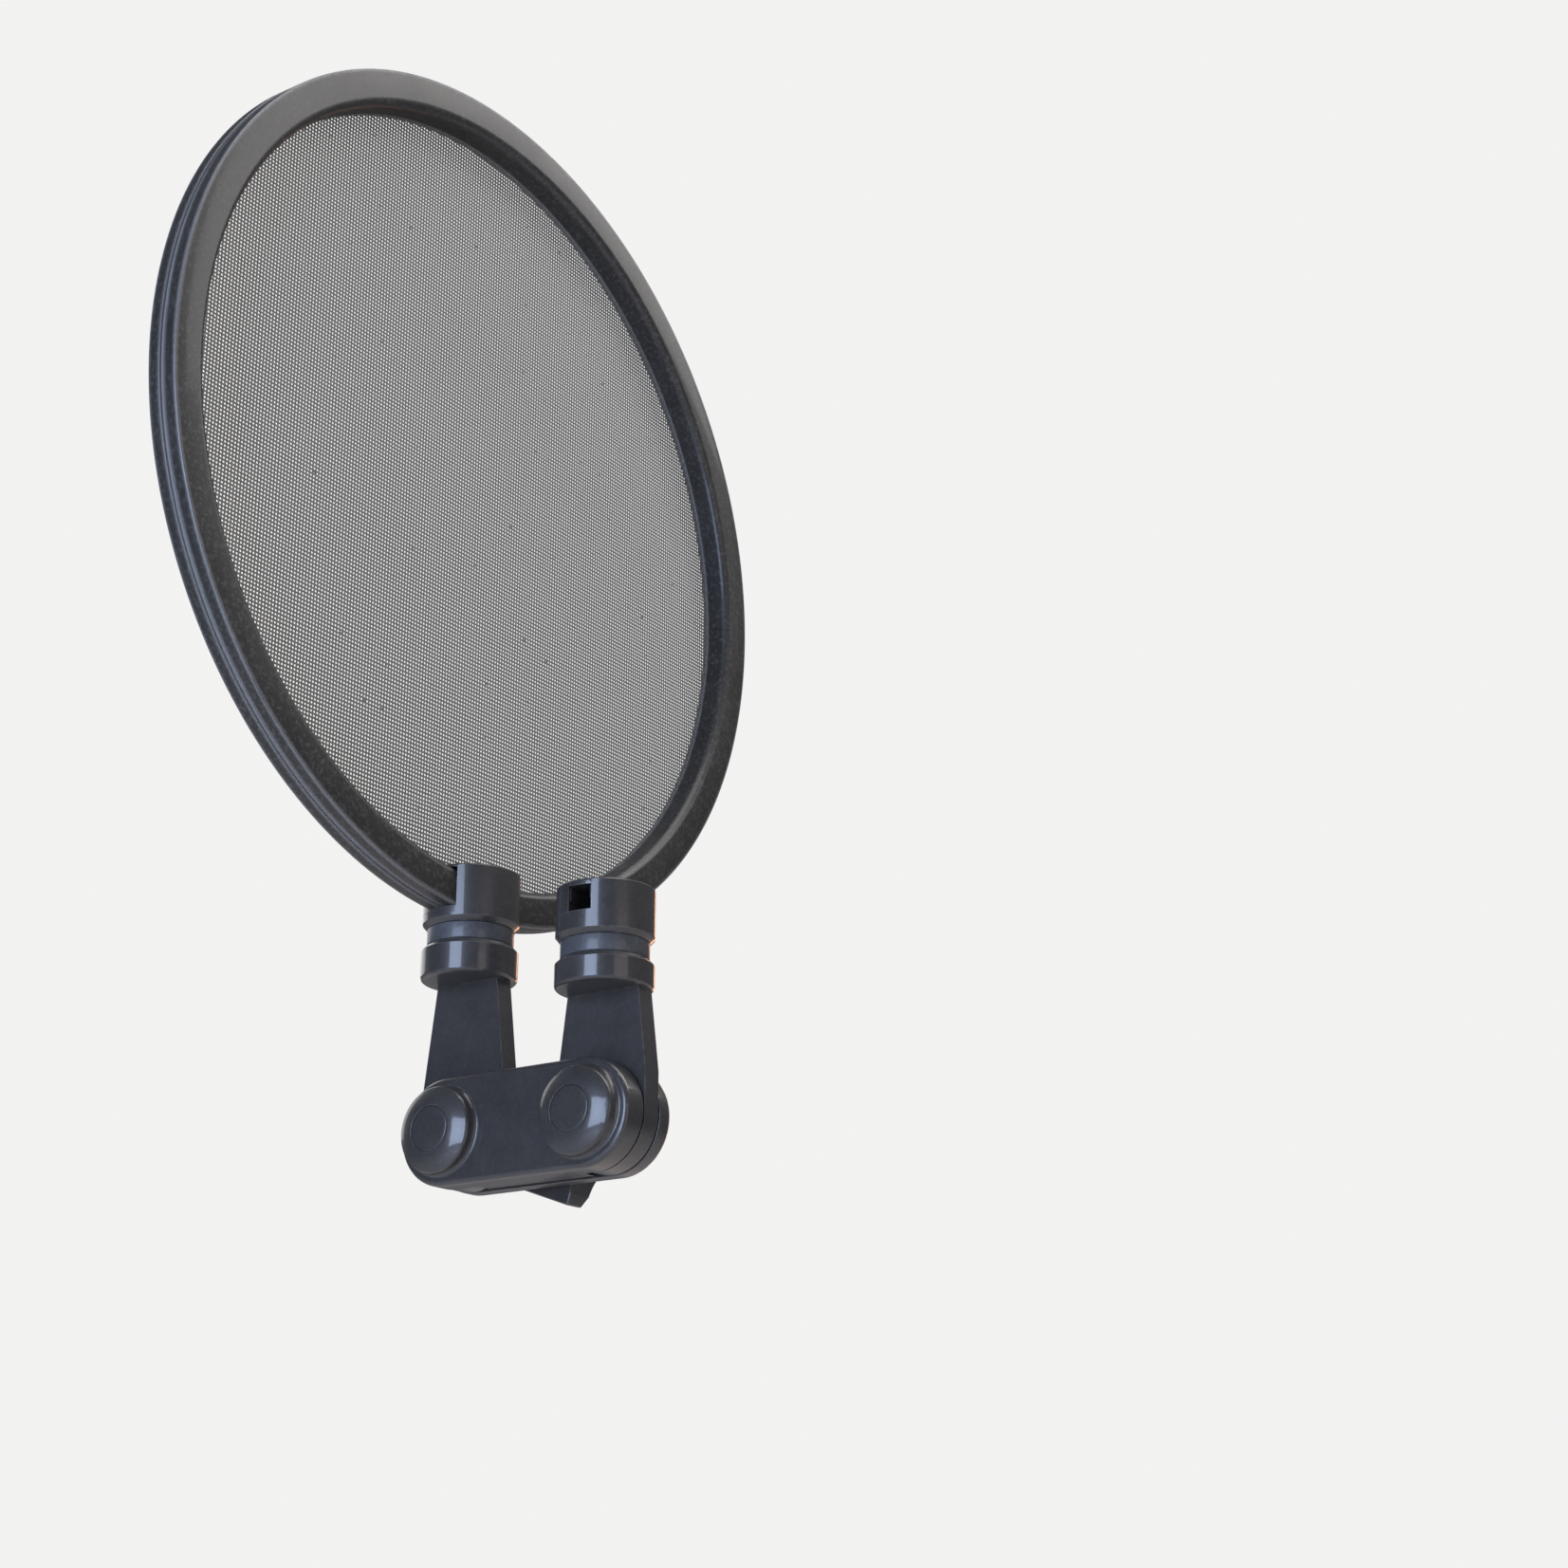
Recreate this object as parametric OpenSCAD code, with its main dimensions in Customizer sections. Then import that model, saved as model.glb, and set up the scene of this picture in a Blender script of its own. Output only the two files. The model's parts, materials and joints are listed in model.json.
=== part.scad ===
// Round pop filter on a two-pivot swing linkage, with a clamp head that grips a flat metal ring.
// Millimetres. +Z is up, +Y points from the ring towards the filter, +X runs along both pivots.
// The origin is on the first swivel axis, at the floor of the channel that takes the ring.

/* [Filter hoop] */
// Outer diameter of the hoop
hoop_od = 184.4; // [150:0.2:225]
// Radial thickness of the hoop
hoop_wall = 7.8; // [7:0.1:12]
// Depth of the hoop along its axis
hoop_depth = 7; // [6.4:0.1:10]
// Radius of the soft inner edge on the microphone side
hoop_soft_edge = 1.9; // [1:0.1:2.4]
// Depth from the microphone side face to the middle of the screen
screen_depth = 6; // [4.5:0.1:6]
// Thickness of the woven screen
screen_t = 0.3; // [0.2:0.05:0.4]
// Width of the groove round the hoop where its halves meet
seam_w = 1; // [0.6:0.1:1.4]
// Depth of that groove
seam_d = 0.5; // [0.3:0.1:0.8]

/* [Mounting ring] */
// Radius of the ring that the clamp grips, to the middle of its band
ring_r = 55; // [40:0.5:80]
// Thickness of that ring's band
ring_band_t = 4.2; // [3:0.1:4.6]
// Height of that ring's band
ring_band_h = 4.9; // [4:0.1:8]
// Thickness of the rubber pads in the ring channel
pad_t = 0.4; // [0.3:0.1:0.6]

/* [Clamp heads and swivels] */
// Diameter of the clamp heads and swivel collars
head_d = 19.2; // [18:0.1:26]
// Thickness of the ring clamp below its channel
ring_base_t = 4.4; // [4.2:0.1:7]
// Thickness of the hoop clamp below the hoop
hoop_base_t = 2.5; // [2.2:0.1:5]
// Thickness of the lips that hook over the ring and the hoop
lip_t = 1.2; // [0.8:0.1:2]
// Diameter of the light grey friction rings
neck_d = 17.2; // [15:0.1:18]
// Height of the friction rings
neck_h = 3.4; // [2.8:0.1:5]
// Height of the collar on the inner arm
inner_collar_h = 6; // [5.6:0.1:10]
// Height of the collar on the outer arm
outer_collar_h = 7.2; // [5.6:0.1:11]
// Diameter of the swivel studs
stud_d = 7; // [5:0.1:8]

/* [Linkage] */
// Distance between the two pivots
link_len = 33.8; // [31:0.1:60]
// Height of the ring channel's floor above the pivots
pivot_drop = 37.9; // [30:0.1:60]
// Height of the hoop's lowest point above the ring channel's floor
hoop_rise = 5.8; // [2:0.1:20]
// Radius of the rounded ends of the link plates
link_r = 10.5; // [9.6:0.1:13]
// Thickness of the front link plate, on the dome side
front_plate_t = 5.2; // [4:0.1:8]
// Thickness of the back link plate, on the knob side
back_plate_t = 3.8; // [3.4:0.1:6]
// Radius of the rounded edges of the link plates
plate_edge = 1.2; // [0.5:0.1:1.8]
// Thickness of the arms
arm_t = 4.2; // [3:0.1:6]
// How far the arms stand off the swivel axes, towards the knob
arm_shift = 1.6; // [0:0.1:2.5]
// How much narrower each side of an arm gets for each millimetre of height
arm_taper = 0.127; // [0:0.001:0.16]
// Height of the domes over the pivots
dome_h = 3.8; // [3.4:0.1:6]
// Diameter of the pivot shoulders
pivot_d = 6; // [4.5:0.1:7]
// Thickness of the friction washers beside the arms
washer_t = 0.4; // [0.3:0.05:1]

/* [Wing knob] */
// Length of the wing knob across its wings
knob_len = 24.6; // [18:0.2:27]
// Width of the wings
knob_w = 14; // [10:0.2:16]
// Height of the wing tips
knob_tip_h = 4.4; // [3:0.1:6]
// Height of the middle of the knob
knob_h = 8.2; // [7:0.1:14]
// Angle at which the knob stands when tight
knob_turn = 20; // [-90:1:90]

/* [Fits] */
// Radial clearance of parts that turn on each other
run_fit = 0.05; // [0.02:0.01:0.09]
// Clearance of parts that are fixed to each other
seat_fit = 0.05; // [0.02:0.01:0.1]

/* [Hidden] */
$fn = 96;
head_r = head_d / 2;
neck_r = neck_d / 2;
stud_r = stud_d / 2;
pivot_r = pivot_d / 2;
hoop_ro = hoop_od / 2;
hoop_ri = hoop_ro - hoop_wall;
hoop_z = hoop_rise + hoop_ro;
rear_a = -hoop_depth / 2;
front_a = hoop_depth / 2;
screen_a = rear_a + screen_depth;
edge_cut = 0.4;            // small edge break on the hoop
skirt_w = 2;               // width of the rear ring's skirt that holds the screen
pocket_w = 4.2;            // width out to the wall of the tension ring's pocket
tension_h = 1.3;           // height of the tension ring

pivot_z = -pivot_drop;
ring_top = ring_band_h + seat_fit;
ring_head_bottom = -ring_base_t;
ring_head_top = ring_top + lip_t;
hoop_head_bottom = hoop_rise - hoop_base_t;
hoop_head_top = hoop_rise + hoop_wall + lip_t;
channel_half = ring_band_t / 2 + pad_t;
jaw_lip_y = channel_half / 2;          // where body and jaw lips meet over the ring
jaw_base_y = stud_r + 1.2;             // where body and jaw meet below the ring
pad_z = 2.2;                           // the pads start this high above the channel's floor

head_cut = 0.95;           // bevel under the heads
collar_cut = 1.1;          // bevel on top of the collars
collar_round = 1;          // rounding under the collars
flange_r = 5.6;            // stud flange inside the friction ring
flange_h = 1.2;
spring_h = 0.9;            // wave washer under the stud flange
spigot_r = 2.5;            // top of the stud, fixed in the head
groove_r = stud_r - 0.9;   // groove in the stud for the grub screw
groove_h = 1.7;
grub_r = 0.75;
floor_t = 0.8;             // what is left below the stud in the collar
inner_neck_top = ring_head_bottom;
outer_neck_top = hoop_head_bottom;
inner_collar_top = inner_neck_top - neck_h - run_fit;
outer_collar_top = outer_neck_top - neck_h - run_fit;
inner_collar_bottom = inner_collar_top - inner_collar_h;
outer_collar_bottom = outer_collar_top - outer_collar_h;

arm_r = link_r - 0.1;
arm_half = arm_t / 2;
arm_front = arm_shift - arm_half;
arm_back = arm_shift + arm_half;
washer_gap = washer_t + 2 * run_fit;
front_in = arm_front - washer_gap;       // front link plate, from its inner to its outer face
front_out = front_in - front_plate_t;
back_in = arm_back + washer_gap;         // back link plate
back_out = back_in + back_plate_t;
dome_top = front_out - dome_h;
dome_r = link_r * 0.8;     // foot of the pivot dome
dome_shoulder = 0.8;       // rounding between the dome's wall and its crown
crown_drop = 1.3;          // how far the crown falls from the cap to the shoulder
cap_r = 4.4;               // pivot cap
cap_t = 1.1;
screw_head_r = 3.8;
screw_head_h = 2;
thread_r = 2;              // threaded end of the pivot screws
nut_af = 7;                // pivot nut across its flats
nut_h = 2.4;
washer_r = 7.6;
small_r = 1;               // jaw screws
small_head_r = 1.8;
small_head_h = 1.4;
ring_screw_x = 4;
ring_screw_z = -ring_base_t / 2;
hoop_screw_x = 4.2;
hoop_screw_z = hoop_rise + 2.5;
clamp_r = 2.5;             // stud through the middle of the link
clamp_y = link_len / 2;
spacer_r = arm_r + 0.5;    // the spacer clears the round arm ends by this radius
spacer_gap = 0.3;          // room left beside the spacer, so the plates can squeeze the arms
knob_in = back_out + 0.8;  // knob starts behind its washer
knob_washer_r = 5.5;
insert_r = 4;

// ---- helpers -------------------------------------------------------------------------

// Points of a quarter arc of radius r about (cx, cy), from angle a0 to a1
function arc(cx, cy, r, a0, a1, steps = 5) =
    [for (i = [0:steps]) [cx + r * cos(a0 + (a1 - a0) * i / steps), cy + r * sin(a0 + (a1 - a0) * i / steps)]];

// Turns a solid of revolution from the Z axis to the X axis, at a height and a distance along Y
module on_x(y, z) { translate([0, y, z]) rotate([0, 90, 0]) children(); }

// Puts a solid of revolution about Z onto the hoop's axis; its Z then runs along +Y
module on_hoop() { translate([0, link_len, hoop_z]) rotate([-90, 0, 0]) children(); }

// Straight rod along +Y from y0 to y1
module rod_y(x, z, y0, y1, r) { translate([x, y0, z]) rotate([-90, 0, 0]) cylinder(r = r, h = y1 - y0); }

// Straight rod along +X from x0 to x1
module rod_x(y, z, x0, x1, r) { translate([x0, y, z]) rotate([0, 90, 0]) cylinder(r = r, h = x1 - x0); }

// Round clamp head with a bevel below
module head(bottom, top) {
    rotate_extrude()
        polygon([[0, bottom], [head_r - head_cut, bottom], [head_r, bottom + head_cut],
                 [head_r, top - 0.3], [head_r - 0.3, top], [0, top]]);
}

// Space that the gripped ring takes in the ring clamp, with room for the pads
module ring_channel() {
    translate([0, -ring_r, 0])
        difference() {
            cylinder(r = ring_r + channel_half, h = ring_top);
            translate([0, 0, -1])
                cylinder(r = ring_r - channel_half, h = ring_top + 2);
        }
}

// The front part of the ring clamp, where it parts from the body
module ring_jaw_zone(gap) {
    translate([-head_d, jaw_lip_y + gap, -0.01])
        cube([2 * head_d, head_d, ring_head_top + 1]);
    translate([-head_d, jaw_base_y + gap, ring_head_bottom - 1])
        cube([2 * head_d, head_d, ring_base_t + 2]);
}

// Space that the hoop takes in its clamp
module hoop_channel() {
    on_hoop()
        rotate_extrude()
            polygon([[hoop_ri - seat_fit, rear_a - seat_fit], [hoop_ro + seat_fit, rear_a - seat_fit],
                     [hoop_ro + seat_fit, front_a + seat_fit], [hoop_ri - seat_fit, front_a + seat_fit]]);
}

// Stud that joins a head to a collar: spigot, flange, shank and retaining groove
module swivel_stud(top, spigot, collar_h) {
    shank_end = -neck_h - collar_h + floor_t + 0.3;
    groove_z = -neck_h - collar_h / 2;
    translate([0, 0, top])
        rotate_extrude()
            polygon([[0, spigot], [spigot_r, spigot], [spigot_r, 0], [flange_r, 0], [flange_r, -flange_h],
                     [stud_r, -flange_h], [stud_r, groove_z + groove_h / 2], [groove_r, groove_z + groove_h / 2],
                     [groove_r, groove_z - groove_h / 2], [stud_r, groove_z - groove_h / 2],
                     [stud_r, shank_end + 0.4], [stud_r - 0.4, shank_end], [0, shank_end]]);
}

// Friction ring round the stud, with a seat for the flange and the wave washer
module friction_ring(top) {
    seat = flange_h + spring_h + 0.1;
    translate([0, 0, top])
        rotate_extrude()
            polygon([[flange_r + run_fit, 0], [neck_r, 0], [neck_r, -neck_h], [stud_r + run_fit, -neck_h],
                     [stud_r + run_fit, -seat], [flange_r + run_fit, -seat]]);
}

// Wave washer, pressed flat
module wave_washer(top) {
    translate([0, 0, top - flange_h - spring_h - 0.05])
        difference() {
            cylinder(r = flange_r - 0.2, h = spring_h);
            translate([0, 0, -1])
                cylinder(r = stud_r + 0.2, h = spring_h + 2);
        }
}

// Swivel collar with its bore, and the side hole of its grub screw
module collar(top, h) {
    difference() {
        rotate_extrude()
            polygon(concat([[0, top], [head_r - collar_cut, top], [head_r, top - collar_cut]],
                           arc(head_r - collar_round, top - h + collar_round, collar_round, 0, -90),
                           [[0, top - h]]));
        translate([0, 0, top - h + floor_t])
            cylinder(r = stud_r + run_fit, h = h);
        translate([0, 0, top - h / 2 + run_fit])
            rod_x(0, 0, 0, head_r + 1, grub_r + seat_fit);
    }
}

// Grub screw in the collar's side, with a hexagon socket
module grub_screw(top, h) {
    difference() {
        translate([0, 0, top - h / 2 + run_fit])
            rod_x(0, 0, groove_r + 0.25, head_r - 0.5, grub_r);
        translate([0, 0, top - h / 2 + run_fit])
            translate([head_r - 1.5, 0, 0])
                rotate([0, 90, 0])
                    cylinder(r = 0.4, h = 3, $fn = 6);
    }
}

// Flat blade of an arm, from its collar down round its pivot
module arm_blade(collar_bottom) {
    shoulder = 8;
    reach = collar_bottom - pivot_z;
    top_half = arm_r - arm_taper * (reach - shoulder);
    difference() {
        translate([arm_front, 0, pivot_z])
            rotate([90, 0, 90])
                linear_extrude(arm_t)
                    union() {
                        circle(r = arm_r);
                        polygon([[-arm_r, 0], [arm_r, 0], [arm_r, shoulder], [top_half, reach + 0.4],
                                 [-top_half, reach + 0.4], [-arm_r, shoulder]]);
                    }
        rod_x(0, pivot_z, arm_front - 1, arm_back + 1, pivot_r + run_fit);
    }
}

// Body of a link plate: two round ends and a straight middle, with a rounded outer edge
module link_plate_body(x_in, x_out) {
    side = x_out > x_in ? 1 : -1;
    t = abs(x_out - x_in);
    half = concat([[0, 0], [link_r, 0]], arc(link_r - plate_edge, t - plate_edge, plate_edge, 0, 90), [[0, t]]);
    full = concat([[-link_r, 0], [link_r, 0]], arc(link_r - plate_edge, t - plate_edge, plate_edge, 0, 90),
                  arc(plate_edge - link_r, t - plate_edge, plate_edge, 90, 180));
    translate([x_in, 0, pivot_z])
        rotate([0, 90 * side, 0]) {
            rotate_extrude()
                polygon(half);
            translate([0, link_len, 0])
                rotate_extrude()
                    polygon(half);
            translate([0, link_len, 0])
                rotate([90, 0, 0])
                    linear_extrude(link_len)
                        polygon(full);
        }
}

// Dome over a pivot: stepped foot, short wall, rounded shoulder and shallow crown round the cap
module dome() {
    crown_r = cap_r + 0.2;
    shoulder_end = dome_r - dome_shoulder * (1 - cos(59));
    crown_edge = dome_h - crown_drop;
    wall_top = crown_edge - dome_shoulder * sin(59);
    translate([front_out + 0.3, 0, pivot_z])
        rotate([0, -90, 0])
            translate([0, 0, 0.3])
                rotate_extrude()
                    polygon(concat([[0, -0.3], [dome_r + 0.7, -0.3], [dome_r + 0.7, 0], [dome_r + 0.3, 0.3], [dome_r, 0.9]],
                                   arc(dome_r - dome_shoulder, wall_top, dome_shoulder, 0, 59),
                                   [for (i = [5:-1:0]) [crown_r + (shoulder_end - crown_r) * i / 6,
                                                        dome_h - crown_drop * (0.45 * i / 6 + 0.55 * pow(i / 6, 2))]],
                                   [[0, dome_h]]));
}

// ---- ring clamp ----------------------------------------------------------------------

module ring_clamp_body() {
    color("#3c4048")
        difference() {
            head(ring_head_bottom, ring_head_top);
            ring_channel();
            ring_jaw_zone(0);
            translate([0, 0, ring_head_bottom - 1])
                cylinder(r = spigot_r + seat_fit, h = 1 + ring_base_t - 1.2);
            for (x = [-ring_screw_x, ring_screw_x])
                rod_y(x, ring_screw_z, -4, head_r, small_r + seat_fit);
        }
}

module ring_clamp_jaw() {
    color("#3c4048")
        difference() {
            intersection() {
                head(ring_head_bottom, ring_head_top);
                ring_jaw_zone(seat_fit);
            }
            ring_channel();
            for (x = [-ring_screw_x, ring_screw_x]) {
                rod_y(x, ring_screw_z, 0, head_r + 1, small_r + seat_fit);
                rod_y(x, ring_screw_z, jaw_base_y + 1.4, head_r + 1, small_head_r + seat_fit);
            }
        }
}

module ring_clamp_screws() {
    color("#8c8f94")
        for (x = [-ring_screw_x, ring_screw_x])
            difference() {
                union() {
                    rod_y(x, ring_screw_z, -3.8, jaw_base_y + 1.5, small_r);
                    rod_y(x, ring_screw_z, jaw_base_y + 1.45, jaw_base_y + 1.45 + small_head_h, small_head_r);
                }
                translate([x, jaw_base_y + 2, ring_screw_z])
                    rotate([-90, 0, 0])
                        cylinder(r = 0.9, h = 3, $fn = 6);
            }
}

module ring_clamp_pads() {
    color("#1c1c1e")
        for (s = [0, 1])
            intersection() {
                translate([0, -ring_r, pad_z])
                    difference() {
                        cylinder(r = ring_r + (s == 0 ? channel_half - 0.02 : -ring_band_t / 2), h = ring_band_h - pad_z - 0.2);
                        translate([0, 0, -1])
                            cylinder(r = ring_r + (s == 0 ? ring_band_t / 2 : 0.02 - channel_half), h = ring_band_h + 2);
                    }
                cylinder(r = head_r - 0.4, h = 2 * ring_band_h);
            }
}

// ---- first swivel and inner arm ------------------------------------------------------

module inner_swivel_stud() { color("#9a9da2") swivel_stud(inner_neck_top, ring_base_t - 1.4, inner_collar_h); }

module inner_friction_ring() { color("#4e535e") friction_ring(inner_neck_top - 0.02); }

module inner_wave_washer() { color("#b4b6ba") wave_washer(inner_neck_top); }

module inner_arm() {
    color("#3c4048")
        union() {
            collar(inner_collar_top, inner_collar_h);
            arm_blade(inner_collar_bottom);
        }
}

module inner_grub_screw() { color("#55585c") grub_screw(inner_collar_top, inner_collar_h); }

// ---- link ----------------------------------------------------------------------------

module front_link_plate() {
    color("#3c4048")
        difference() {
            union() {
                link_plate_body(front_in, front_out);
                for (y = [0, link_len])
                    translate([0, y, 0])
                        dome();
            }
            for (y = [0, link_len]) {
                rod_x(y, pivot_z, dome_top - 1, front_in + 1, pivot_r + seat_fit);
                rod_x(y, pivot_z, dome_top - 1, dome_top + cap_t + screw_head_h + 2 * seat_fit, screw_head_r + seat_fit);
                rod_x(y, pivot_z, dome_top - 1, dome_top + cap_t + seat_fit, cap_r + seat_fit);
            }
            rod_x(clamp_y, pivot_z, front_out + 0.9, front_in + 1, clamp_r + 1 + seat_fit);
        }
}

module back_link_plate() {
    color("#3c4048")
        difference() {
            link_plate_body(back_in, back_out);
            for (y = [0, link_len]) {
                rod_x(y, pivot_z, arm_shift, back_out + 1, thread_r + seat_fit);
                translate([back_out - nut_h - seat_fit, y, pivot_z])
                    rotate([0, 90, 0])
                        cylinder(r = (nut_af / 2 + seat_fit) / cos(30), h = nut_h + 1, $fn = 6);
            }
            rod_x(clamp_y, pivot_z, arm_shift, back_out + 1, clamp_r + seat_fit);
        }
}

// Fills the gap between the plates below the clamp stud, between the round arm ends
module link_spacer() {
    color("#34373e")
        translate([front_in, 0, pivot_z])
            rotate([90, 0, 90])
                linear_extrude(back_in - front_in - spacer_gap)
                    difference() {
                        translate([0, 0.4 - link_r])
                            square([link_len, link_r - 0.4]);
                        for (y = [0, link_len])
                            translate([y, 0])
                                circle(r = spacer_r);
                        translate([clamp_y, 0])
                            circle(r = clamp_r + run_fit);
                    }
}

module pivot_screws() {
    head_x = dome_top + cap_t + 2 * seat_fit;
    color("#9a9da2")
        for (y = [0, link_len])
            difference() {
                union() {
                    rod_x(y, pivot_z, head_x, head_x + screw_head_h, screw_head_r);
                    rod_x(y, pivot_z, head_x + 0.5, back_in - 0.1, pivot_r);
                    rod_x(y, pivot_z, arm_shift, back_out - 0.2, thread_r);
                }
                translate([head_x - 1, y, pivot_z])
                    rotate([0, 90, 0])
                        cylinder(r = 2, h = 2.2, $fn = 6);
            }
}

module pivot_caps() {
    color("#383c45")
        for (y = [0, link_len])
            on_x(y, pivot_z)
                translate([0, 0, dome_top])
                    rotate_extrude()
                        polygon([[0, 0], [cap_r - 0.3, 0], [cap_r, 0.3], [cap_r, cap_t], [0, cap_t]]);
}

module pivot_nuts() {
    color("#9a9da2")
        for (y = [0, link_len])
            difference() {
                translate([back_out - nut_h, y, pivot_z])
                    rotate([0, 90, 0])
                        cylinder(r = nut_af / 2 / cos(30), h = nut_h, $fn = 6);
                rod_x(y, pivot_z, arm_shift, back_out + 1, thread_r + seat_fit);
            }
}

module pivot_washers() {
    color("#c9c6ba")
        for (y = [0, link_len])
            for (x = [front_in + run_fit, arm_back + run_fit])
                difference() {
                    rod_x(y, pivot_z, x, x + washer_t, washer_r);
                    rod_x(y, pivot_z, x - 1, x + washer_t + 1, pivot_r + run_fit);
                }
}

module clamp_stud() {
    color("#9a9da2")
        union() {
            rod_x(clamp_y, pivot_z, front_out + 1, front_in, clamp_r + 1);
            rod_x(clamp_y, pivot_z, front_in - 0.1, knob_in + knob_h - 3, clamp_r);
        }
}

module knob_washer() {
    color("#9a9da2")
        difference() {
            rod_x(clamp_y, pivot_z, back_out, knob_in - 0.1, knob_washer_r);
            rod_x(clamp_y, pivot_z, back_out - 1, knob_in + 1, clamp_r + seat_fit);
        }
}

module wing_knob() {
    shoulder = knob_len / 2 - 6;
    color("#3c4048")
        difference() {
            translate([knob_in, clamp_y, pivot_z])
                rotate([knob_turn, 0, 0])
                    difference() {
                        rotate([90, 0, 0])
                            linear_extrude(knob_w, center = true)
                                polygon([[0, -knob_len / 2], [knob_tip_h, -knob_len / 2], [knob_h, -shoulder],
                                         [knob_h, shoulder], [knob_tip_h, knob_len / 2], [0, knob_len / 2]]);
                        for (sy = [-1, 1])
                            for (sz = [-1, 1])
                                translate([-1, sy * (knob_w / 2 + 9.5), sz * knob_len * 0.21])
                                    rotate([0, 90, 0])
                                        cylinder(r = 10.6, h = knob_h + 2);
                    }
            rod_x(clamp_y, pivot_z, knob_in - 1, knob_in + knob_h - 1.5, insert_r + seat_fit);
        }
}

module knob_insert() {
    color("#b99b5a")
        difference() {
            rod_x(clamp_y, pivot_z, knob_in, knob_in + knob_h - 1.6, insert_r);
            rod_x(clamp_y, pivot_z, knob_in - 1, knob_in + knob_h - 2.4, clamp_r + run_fit);
        }
}

// ---- outer arm and second swivel -----------------------------------------------------

module outer_arm() {
    color("#3c4048")
        translate([0, link_len, 0])
            union() {
                collar(outer_collar_top, outer_collar_h);
                arm_blade(outer_collar_bottom);
            }
}

module outer_grub_screw() {
    color("#55585c") translate([0, link_len, 0]) grub_screw(outer_collar_top, outer_collar_h);
}

module outer_swivel_stud() {
    color("#9a9da2") translate([0, link_len, 0]) swivel_stud(outer_neck_top, hoop_base_t - 0.7, outer_collar_h);
}

module outer_friction_ring() {
    color("#4e535e") translate([0, link_len, 0]) friction_ring(outer_neck_top - 0.02);
}

module outer_wave_washer() {
    color("#b4b6ba") translate([0, link_len, 0]) wave_washer(outer_neck_top);
}

// ---- hoop clamp ----------------------------------------------------------------------

module hoop_clamp_body() {
    lip_end = screen_a - screen_t / 2 - 0.8;
    color("#3c4048")
        difference() {
            translate([0, link_len, 0])
                head(hoop_head_bottom, hoop_head_top);
            hoop_channel();
            translate([-head_d, link_len + front_a, hoop_rise])
                cube([2 * head_d, head_d, hoop_wall + lip_t + 5]);
            translate([-head_d, link_len + lip_end, hoop_rise + hoop_wall / 2])
                cube([2 * head_d, head_d, hoop_wall + lip_t + 5]);
            translate([0, link_len, hoop_head_bottom - 1])
                cylinder(r = spigot_r + seat_fit, h = 1 + hoop_base_t - 0.6);
            for (x = [-hoop_screw_x, hoop_screw_x])
                rod_y(x, hoop_screw_z, link_len - 7, link_len, small_r + seat_fit);
        }
}

module hoop_clamp_jaw() {
    color("#3c4048")
        difference() {
            intersection() {
                translate([0, link_len, 0])
                    head(hoop_head_bottom, hoop_head_top);
                translate([-head_d, link_len + front_a + seat_fit, hoop_rise + seat_fit])
                    cube([2 * head_d, head_d, hoop_wall + lip_t + 5]);
            }
            for (x = [-hoop_screw_x, hoop_screw_x]) {
                rod_y(x, hoop_screw_z, link_len, link_len + head_r + 1, small_r + seat_fit);
                rod_y(x, hoop_screw_z, link_len + front_a + 2.4, link_len + head_r + 1, small_head_r + seat_fit);
            }
        }
}

module hoop_clamp_screws() {
    seat = link_len + front_a + 2.45;
    color("#8c8f94")
        for (x = [-hoop_screw_x, hoop_screw_x])
            difference() {
                union() {
                    rod_y(x, hoop_screw_z, link_len - 6.8, seat + 0.1, small_r);
                    rod_y(x, hoop_screw_z, seat, seat + small_head_h, small_head_r);
                }
                translate([x, seat + 0.6, hoop_screw_z])
                    rotate([-90, 0, 0])
                        cylinder(r = 0.9, h = 3, $fn = 6);
            }
}

// Holes for the hoop clamp screws through the hoop
module hoop_screw_holes() {
    for (x = [-hoop_screw_x, hoop_screw_x])
        rod_y(x, hoop_screw_z, link_len - head_r, link_len + head_r, small_r + seat_fit);
}

// ---- hoop ----------------------------------------------------------------------------

module hoop_rear_ring() {
    color("#4b4a49")
        difference() {
            on_hoop()
                rotate_extrude($fn = 240)
                    polygon(concat(
                        [[hoop_ri, screen_a - screen_t / 2 - 0.02]],
                        arc(hoop_ri + hoop_soft_edge, rear_a + hoop_soft_edge, hoop_soft_edge, 180, 270),
                        [[hoop_ro - edge_cut, rear_a], [hoop_ro, rear_a + edge_cut], [hoop_ro, -seam_w / 2 - 0.15],
                         [hoop_ro - seam_d, -seam_w / 2], [hoop_ro - seam_d, 0], [hoop_ri + pocket_w, 0],
                         [hoop_ri + pocket_w, screen_a - tension_h - screen_t],
                         [hoop_ri + skirt_w, screen_a - tension_h - screen_t],
                         [hoop_ri + skirt_w, screen_a - screen_t / 2 - 0.02]]));
            hoop_screw_holes();
        }
}

module hoop_front_ring() {
    color("#3f4147")
        difference() {
            on_hoop()
                rotate_extrude($fn = 240)
                    polygon([[hoop_ri + pocket_w + seat_fit, seat_fit], [hoop_ro - seam_d, seat_fit],
                             [hoop_ro - seam_d, seam_w / 2], [hoop_ro, seam_w / 2 + 0.15],
                             [hoop_ro, front_a - edge_cut], [hoop_ro - edge_cut, front_a],
                             [hoop_ri + edge_cut, front_a], [hoop_ri, front_a - edge_cut],
                             [hoop_ri, screen_a + screen_t / 2 + 0.02],
                             [hoop_ri + pocket_w + seat_fit, screen_a + screen_t / 2 + 0.02]]);
            hoop_screw_holes();
        }
}

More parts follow.
